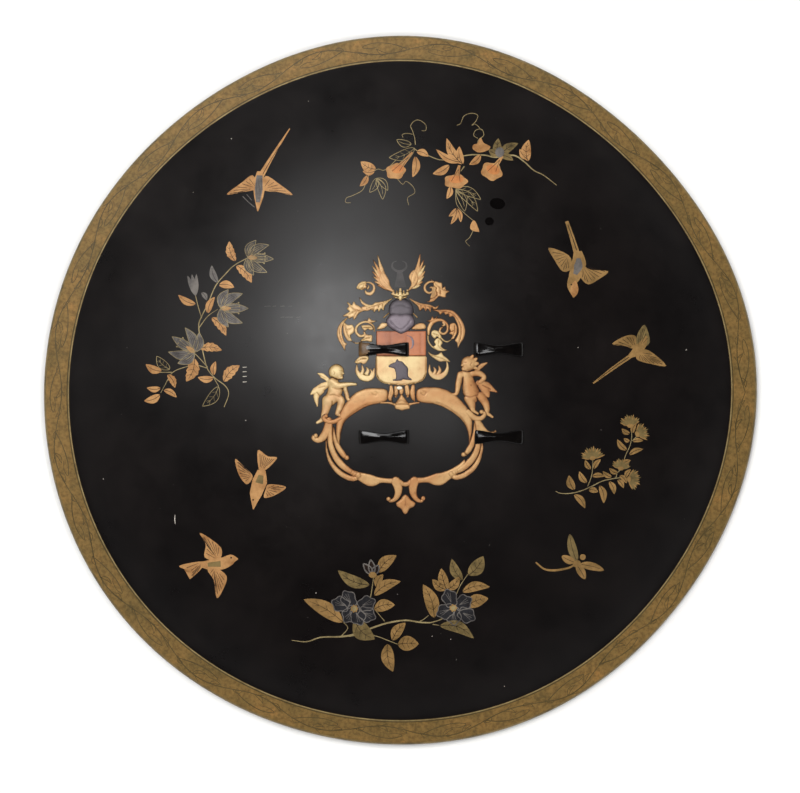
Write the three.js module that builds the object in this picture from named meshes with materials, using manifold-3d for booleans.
// A round shield of lacquered buffalo hide, lying on its brim with the painted face up.
// Millimetres, +Z up. The origin is the middle of the underside, +X the right of the painted face, +Y its top.

import * as THREE from "three";
import { mergeVertices } from "three/addons/utils/BufferGeometryUtils.js";
import Module from "manifold-3d";

const wasm = await Module();
wasm.setup();

// The hide: a shallow crown pressed out of a flat brim.
const rimRadius = 354; // middle to the outer edge of the brim
const brimWidth = 25; // the gilded border
const brimFall = 5; // the brim's outer edge lies this much lower than its inner one
const edgeThickness = 8; // the rounded outer edge
const restWidth = 7; // flat ring under the brim that the shield lies on
const crownRise = 84; // top of the crown over the brim's inner edge
const hideThickness = 5;

// A hide dried over a mould is never quite round: lobes round the edge, how far they stand out, and the first one's place.
const unevenness = [
  { lobes: 2, size: 1.4, degrees: 44 },
  { lobes: 3, size: 1.5, degrees: -63 },
  { lobes: 4, size: 1.8, degrees: 12 },
  { lobes: 5, size: 1.3, degrees: 37 },
];

// The two hand straps behind the crown, and the four thongs that tie their ends through the hide.
const gripMiddleX = [-14.5, 98.5];
const gripMiddleY = -1;
const thongSpacing = 86; // between the thongs of one strap
const thongLength = 50;
const thongWidth = 14;
const thongThickness = 2.6;
const thongPinch = 0.42; // share of its width that a thong loses where it is pulled together
const thongArch = 1.6; // rise of the thong's middle over its ends
const gripWidth = 22;
const gripThickness = 4;
const gripBow = 44; // how far the middle of a strap stands off the hide
const gripTail = 10; // strap left over past each thong
const clearance = 0.35;
const seamSlack = 0.08; // corners closer than this, where the raised lacquer meets the crown, are made one

// The coat of arms is built up in thick lacquer on the crown.
const armsX = 2.5; // the upright line that the escutcheon and the mantling are balanced on
const crestX = 1; // the same for the helmet and the wings
const frameX = 5; // middle of the cartouche frame
const frameY = -45;
const frameLean = 2.5; // degrees, its top to the left
const headRadius = 7.4; // a cherub's head
const reliefRoot = 2; // how deep the raised lacquer is keyed into the hide
const frameRelief = 1.6;
const figureRelief = 2.4;
const leafRelief = 1.2;
const escutcheonRelief = 1.5;
const helmetRelief = 2.6;

const latheSteps = 64;
const crownSteps = 10;
const underSteps = 9;

const brimTop = edgeThickness + brimFall;
const crownRadius = rimRadius - brimWidth;
const sphereRadius = (crownRadius ** 2 + crownRise ** 2) / (2 * crownRise);
const sphereZ = brimTop + crownRise - sphereRadius;

const lacquerBlack = new THREE.MeshStandardMaterial({ color: 0x17110f, roughness: 0.32, metalness: 0 });
const thongBlack = new THREE.MeshStandardMaterial({ color: 0x120e0c, roughness: 0.28, metalness: 0 });
const gripLeather = new THREE.MeshStandardMaterial({ color: 0x2a1a12, roughness: 0.6, metalness: 0 });

// Height of the crown's outer face, or of a face that stands off it by lift.
function crownZ(x, y, lift = 0) {
  return sphereZ + Math.sqrt((sphereRadius + lift) ** 2 - x * x - y * y);
}

function solidOf(geometry) {
  const bare = geometry.index ? geometry.toNonIndexed() : geometry.clone();
  bare.deleteAttribute("normal");
  bare.deleteAttribute("uv");
  const merged = mergeVertices(bare, 1e-3);
  return new wasm.Manifold(
    new wasm.Mesh({
      numProp: 3,
      vertProperties: merged.attributes.position.array,
      triVerts: new Uint32Array(merged.index.array),
    }),
  );
}

function geometryOf(solid) {
  const mesh = solid.getMesh();
  const geometry = new THREE.BufferGeometry()
    .setAttribute("position", new THREE.BufferAttribute(mesh.vertProperties, mesh.numProp))
    .setIndex(new THREE.BufferAttribute(mesh.triVerts, 1));
  geometry.computeVertexNormals();
  return geometry;
}

// Moves every corner of a geometry by a function of its place.
function reshape(geometry, place) {
  const corners = geometry.attributes.position;
  const corner = new THREE.Vector3();
  for (let i = 0; i < corners.count; i++) {
    place(corner.fromBufferAttribute(corners, i));
    corners.setXYZ(i, corner.x, corner.y, corner.z);
  }
  return geometry;
}

// The section of the hide, from the top of the crown round the edge and back under it.
function hideSection() {
  const points = [];
  const crownArc = (radius, reach, steps, outward) => {
    for (let i = 0; i <= steps; i++) {
      const share = outward ? i / steps : 1 - i / steps;
      const angle = share * Math.asin(reach / radius);
      points.push(new THREE.Vector2(radius * Math.sin(angle), sphereZ + radius * Math.cos(angle)));
    }
  };
  crownArc(sphereRadius, crownRadius, crownSteps, true);
  const edgeRadius = edgeThickness / 2;
  const edgeSteps = 5;
  for (let i = 0; i <= edgeSteps; i++) {
    const angle = Math.PI / 2 - (Math.PI * i) / edgeSteps;
    points.push(
      new THREE.Vector2(
        rimRadius - edgeRadius + edgeRadius * Math.cos(angle),
        edgeRadius + edgeRadius * Math.sin(angle),
      ),
    );
  }
  points.push(new THREE.Vector2(rimRadius - edgeRadius - restWidth, 0));
  crownArc(sphereRadius - hideThickness, crownRadius - hideThickness, underSteps, false);
  return points;
}

function unevenHide() {
  const turned = new THREE.LatheGeometry(hideSection().reverse(), latheSteps).rotateX(Math.PI / 2);
  return reshape(turned, (corner) => {
    const radius = Math.hypot(corner.x, corner.y);
    const angle = Math.atan2(corner.y, corner.x);
    let swell = 0;
    for (const lobe of unevenness)
      swell += lobe.size * Math.cos(lobe.lobes * angle - THREE.MathUtils.degToRad(lobe.degrees));
    const share = (radius / rimRadius) ** 3;
    const factor = radius > 0 ? 1 + (swell * share) / radius : 1;
    corner.x *= factor;
    corner.y *= factor;
  });
}

// A band along a smooth line, for limbs, leaves and scrolls. Each station gives its x, its y and its width.
function band(stations, steps = 1) {
  const line = new THREE.SplineCurve(stations.map(([x, y]) => new THREE.Vector2(x, y)));
  const count = steps * (stations.length - 1);
  const left = [];
  const right = [];
  for (let i = 0; i <= count; i++) {
    const from = Math.min(Math.floor(i / steps), stations.length - 2);
    const half = THREE.MathUtils.lerp(stations[from][2], stations[from + 1][2], i / steps - from) / 2;
    const at = line.getPoint(i / count);
    const side = line.getTangent(i / count).rotateAround(new THREE.Vector2(), Math.PI / 2);
    left.push(at.clone().addScaledVector(side, half));
    right.unshift(at.clone().addScaledVector(side, -half));
  }
  const roundness = 0.4; // share of an end's width that its rounding stands out
  const nose = line.getPoint(1).addScaledVector(line.getTangent(1), roundness * stations.at(-1)[2]);
  const tail = line.getPoint(0).addScaledVector(line.getTangent(0), -roundness * stations[0][2]);
  return new THREE.Shape([...left, nose, ...right, tail]);
}

function disc(x, y, radius, steps = 10) {
  const points = [];
  for (let i = 0; i < steps; i++) {
    const angle = (2 * Math.PI * i) / steps;
    points.push(new THREE.Vector2(x + radius * Math.cos(angle), y + radius * Math.sin(angle)));
  }
  return new THREE.Shape(points);
}

// Raised lacquer of one outline, laid over the crown and keyed into it.
function raised(shape, relief) {
  const slab = new THREE.ExtrudeGeometry(shape, { depth: 1, bevelEnabled: false, curveSegments: 5 });
  return solidOf(
    reshape(slab, (corner) => {
      corner.z = crownZ(corner.x, corner.y, corner.z > 0.5 ? relief : -reliefRoot);
    }),
  );
}

// The same stations on the other side of an upright line.
function mirrored(stations, axis = 0) {
  return stations.map(([x, y, width]) => [2 * axis - x, y, width]);
}

// The frame's bands are given from its own middle, for its left side, and stand on both sides.
function frameOfCartouche() {
  const lean = THREE.MathUtils.degToRad(frameLean);
  const placed = ([x, y, width]) => [
    frameX + x * Math.cos(lean) - y * Math.sin(lean),
    frameY + x * Math.sin(lean) + y * Math.cos(lean),
    width,
  ];
  const inFrame = (stations) => raised(band(stations.map(placed), 2), frameRelief);
  const topArm = [[-13, 42, 16], [-28, 41.5, 17], [-41, 37, 16], [-53, 29, 14], [-61, 19, 9], [-65, 8, 5], [-65, -5, 3]];
  const innerLeaf = [[-67, 14, 3], [-69, -3, 6], [-65, -12, 8], [-58, -17, 6]];
  const outerScroll = [[-75, 15, 9], [-75, -3, 7], [-70, -18, 8], [-61, -31, 9], [-50, -38, 7], [-45, -35, 4]];
  const bottomBand = [[-47, -36, 4], [-37, -41, 11], [-25, -41, 8], [-12, -43, 7], [0, -47, 5]];
  const pendantVolute = [[-6, -45, 9], [-8, -54, 6], [-13, -62, 5], [-20, -59, 5]];
  const smallScroll = [[-60, 23, 8], [-70, 19, 7], [-77, 20, 6], [-79, 25, 4]];
  const sideVolute = [[-73, 16, 11], [-77, 6, 9], [-83, 1, 7], [-89, 1, 6], [-90, 6, 5]];
  const claspLeaf = [[-11, 51, 5], [-9, 44, 4], [-11, 36, 6]];
  const bothSides = [topArm, innerLeaf, outerScroll, bottomBand, pendantVolute, smallScroll, sideVolute, claspLeaf];
  const clasp = [[0, 50, 11], [0, 42, 9], [0, 33, 15]];
  const pendant = [[0, -55, 5], [0, -63, 10], [0, -70, 18], [0, -77, 5]];
  return [...bothSides.flatMap((stations) => [stations, mirrored(stations)]), clasp, pendant].map(inFrame);
}

// A cherub is a round head and a few plump bands; what it wears and its wings lie flatter.
function cherub([headX, headY], limbs, flatter) {
  return [
    raised(disc(headX, headY, headRadius), figureRelief),
    ...limbs.map((stations) => raised(band(stations), figureRelief)),
    ...flatter.map((stations) => raised(band(stations), leafRelief)),
  ];
}

function cherubs() {
  const leaning = cherub(
    [-62, 21],
    [
      [[-64, 12, 9], [-65, 1, 17], [-71, -9, 12], [-74, -17, 8], [-77, -25, 4], [-80, -30, 6]],
      [[-66, 10, 6], [-58, 7, 6], [-50, 8, 4], [-45, 8, 2]],
      [[-54, 4, 4], [-52, -3, 5], [-47, -8, 4]],
      [[-56, -8, 8], [-60, -15, 6], [-63, -21, 4], [-58, -24, 4]],
    ],
    [
      [[-69, 13, 4], [-75, 17, 5], [-81, 20, 2]],
      [[-71, 9, 4], [-80, 3, 9], [-86, -2, 5]],
      [[-79, 0, 6], [-81, -13, 4]],
    ],
  );
  const seated = cherub(
    [70, 29],
    [
      [[68, 20, 11], [70, 11, 13], [72, 2, 17], [73, -5, 12]],
      [[62, 17, 6], [60, 9, 5], [58, 0, 4], [55, -2, 3]],
      [[72, -6, 8], [74, -13, 7], [74, -19, 5], [78, -21, 3]],
      [[81, -5, 7], [86, -12, 8], [88, -20, 4], [91, -24, 5]],
      [[74, 17, 4], [80, 18, 5], [84, 14, 6]],
    ],
    [
      [[78, 22, 4], [82, 26, 5], [87, 29, 2]],
      [[84, 7, 5], [90, 3, 11], [97, -1, 3]],
    ],
  );
  return [...leaning, ...seated];
}

function escutcheon() {
  const top = 61;
  const shoulder = 22;
  const point = 7;
  const half = 25;
  const shape = new THREE.Shape();
  shape.moveTo(armsX - half, top);
  shape.lineTo(armsX - half, shoulder);
  shape.bezierCurveTo(armsX - half, shoulder - 11, armsX - half / 2, point + 3, armsX, point);
  shape.bezierCurveTo(armsX + half / 2, point + 3, armsX + half, shoulder - 11, armsX + half, shoulder);
  shape.lineTo(armsX + half, top);
  return raised(shape, escutcheonRelief);
}

// A wing is a fan of feathers, each a little further out and lower than the one before.
function wing(side) {
  const feathers = 4;
  const feather = (i) => {
    const share = i / (feathers - 1);
    const tipX = 21 + 6 * Math.sin(share * Math.PI * 0.7);
    const tipY = 137 - 27 * share;
    return [[5, 98 - 2 * share, 4], [11 + 3 * share, 110 - 4 * share, 5], [tipX, tipY, 1.5]];
  };
  return Array.from({ length: feathers }, (_, i) => {
    const stations = feather(i).map(([x, y, width]) => [crestX + side * x, y, width]);
    return raised(band(stations), leafRelief);
  });
}

function crestAndMantling() {
  const helmet = [[crestX, 92, 13], [crestX, 80, 20], [crestX, 75, 27], [crestX, 68, 20], [crestX, 61, 6]];
  const coronet = [[crestX, 101, 9], [crestX, 96, 16], [crestX, 92, 8]];
  const topLeaf = [[-6, 93, 4], [-17, 88, 8], [-27, 87, 5], [-37, 91, 2]];
  const mainLeaf = [[-14, 87, 5], [-28, 82, 6], [-43, 81, 9], [-55, 73, 13], [-59, 59, 10], [-55, 42, 2]];
  const innerScroll = [[-24, 71, 6], [-33, 71, 7], [-42, 66, 5], [-42, 57, 4], [-34, 53, 4], [-28, 58, 4]];
  const tailLeaf = [[-41, 38, 3], [-34, 34, 9], [-32, 29, 4]];
  const tail = [[-41, 27, 3], [-39, 17, 7], [-30, 14, 9], [-24, 21, 3]];
  const curl = [[-42, 107, 3], [-35, 109, 6], [-28, 108, 4], [-25, 102, 4], [-30, 97, 3], [-34, 100, 2]];
  const leaves = [topLeaf, mainLeaf, innerScroll, tailLeaf, tail, curl];
  return [
    raised(band(helmet), helmetRelief),
    raised(band(coronet), escutcheonRelief),
    ...[-1, 1].flatMap(wing),
    ...leaves.flatMap((leaf) => [leaf, mirrored(leaf, armsX)]).map((leaf) => raised(band(leaf, 2), leafRelief)),
  ];
}

// A thong is one closed loop: pinched over the face, down two slots and flat behind the hand strap.
function thong() {
  const reach = thongLength / 2;
  const inside = reach - thongThickness;
  const behind = hideThickness + gripThickness + 2 * clearance + reach ** 2 / (2 * sphereRadius);
  const stations = 8;
  const overTheFace = (halfLength, lift) => {
    const line = [];
    for (let i = 0; i <= stations; i++) {
      const share = (2 * i) / stations - 1;
      const arch = thongArch * Math.cos((share * Math.PI) / 2) ** 2;
      line.push(new THREE.Vector2(share * halfLength, clearance + lift + arch));
    }
    return line;
  };
  const outline = new THREE.Shape([
    new THREE.Vector2(-reach, -behind - thongThickness),
    new THREE.Vector2(reach, -behind - thongThickness),
    ...overTheFace(reach, thongThickness).reverse(),
  ]);
  outline.holes.push(
    new THREE.Path([
      ...overTheFace(inside, 0),
      new THREE.Vector2(inside, -behind),
      new THREE.Vector2(-inside, -behind),
    ]),
  );
  const loop = new THREE.ExtrudeGeometry(outline, { depth: thongWidth, bevelEnabled: false })
    .translate(0, 0, -thongWidth / 2)
    .rotateX(Math.PI / 2);
  return reshape(loop, (corner) => {
    if (corner.z < 0) return;
    corner.y *= 1 - thongPinch * Math.cos((corner.x * Math.PI) / thongLength) ** 2;
  });
}

// The two slots that a thong goes through and the bed that it lies in, with room round it.
function thongRoom() {
  const outer = thongLength / 2 + clearance;
  const inner = thongLength / 2 - thongThickness - clearance;
  const depth = 2.5 * hideThickness;
  const width = thongWidth + 2 * clearance;
  const corners = [
    [-outer, -depth],
    [-inner, -depth],
    [-inner, 0],
    [inner, 0],
    [inner, -depth],
    [outer, -depth],
    [outer, depth],
    [-outer, depth],
  ];
  const section = new THREE.Shape(corners.map(([x, z]) => new THREE.Vector2(x, z)));
  return new THREE.ExtrudeGeometry(section, { depth: width, bevelEnabled: false })
    .translate(0, 0, -width / 2)
    .rotateX(Math.PI / 2);
}

// A hand strap, seen from its side: flat on the hide under both thongs and bowed out between them.
function grip() {
  const freeHalf = (thongSpacing - thongWidth - gripThickness) / 2 - clearance;
  const half = (thongSpacing + thongWidth) / 2 + gripTail;
  const restRadius = sphereRadius - hideThickness - clearance - gripThickness / 2;
  const centre = (y) => {
    const share = Math.min(Math.abs(y) / freeHalf, 1);
    return Math.sqrt(restRadius ** 2 - y * y) - sphereRadius - gripBow * (1 - share ** 4) ** 2;
  };
  const places = [];
  const bowSteps = 20;
  for (let i = 0; i <= bowSteps; i++) places.push(-freeHalf * Math.cos((Math.PI * i) / bowSteps));
  const line = [-half, ...places, half].map((y) => new THREE.Vector2(y, centre(y)));
  const side = (offset) =>
    line.map((at, i) => {
      const before = line[Math.max(i - 1, 0)];
      const after = line[Math.min(i + 1, line.length - 1)];
      const along = after.clone().sub(before).normalize();
      return new THREE.Vector2(at.x - along.y * offset, at.y + along.x * offset);
    });
  const outline = new THREE.Shape([...side(gripThickness / 2), ...side(-gripThickness / 2).reverse()]);
  return new THREE.ExtrudeGeometry(outline, { depth: gripWidth, bevelEnabled: false })
    .translate(0, 0, -gripWidth / 2)
    .rotateX(Math.PI / 2)
    .rotateZ(Math.PI / 2);
}

// A group that stands on the crown over a point, with its Z square to the face.
function frameOnCrown(x, y) {
  const frame = new THREE.Group();
  frame.position.set(x, y, crownZ(x, y));
  const up = new THREE.Vector3(x, y, crownZ(x, y) - sphereZ).normalize();
  frame.quaternion.setFromUnitVectors(new THREE.Vector3(0, 0, 1), up);
  return frame;
}

// Swings a thong from the middle of its strap round the crown's centre to the strap's end.
function thongFrame(end) {
  const swing = -end * Math.asin(thongSpacing / 2 / sphereRadius);
  const frame = new THREE.Group();
  frame.rotation.x = swing;
  frame.position.set(0, -sphereRadius * Math.sin(swing), sphereRadius * (Math.cos(swing) - 1));
  return frame;
}

const shield = new THREE.Group();
const rooms = [];
["left", "right"].forEach((sideName, side) => {
  const gripFrame = frameOnCrown(gripMiddleX[side], gripMiddleY);
  const strap = new THREE.Mesh(grip(), gripLeather);
  strap.name = `hand_strap_${sideName}`;
  gripFrame.add(strap);
  for (const [endName, end] of [["upper", 1], ["lower", -1]]) {
    const endFrame = thongFrame(end);
    const tie = new THREE.Mesh(thong(), thongBlack);
    tie.name = `thong_${endName}_${sideName}`;
    endFrame.add(tie);
    gripFrame.add(endFrame);
    gripFrame.updateMatrixWorld(true);
    rooms.push(solidOf(thongRoom().applyMatrix4(endFrame.matrixWorld)));
  }
  shield.add(gripFrame);
});

const lacquerwork = [...frameOfCartouche(), ...cherubs(), escutcheon(), ...crestAndMantling()];
let hide = solidOf(unevenHide());
for (const part of lacquerwork) hide = hide.add(part);
for (const room of rooms) hide = hide.subtract(room);
hide = hide.simplify(seamSlack);
const body = new THREE.Mesh(geometryOf(hide), lacquerBlack);
body.name = "lacquered_hide";
shield.add(body);

// The origin is the middle of the underside, which an uneven edge moves a little off the crown's own axis.
const middle = new THREE.Box3().setFromObject(body).getCenter(new THREE.Vector3());
shield.position.set(-middle.x, -middle.y, 0);

export default shield;
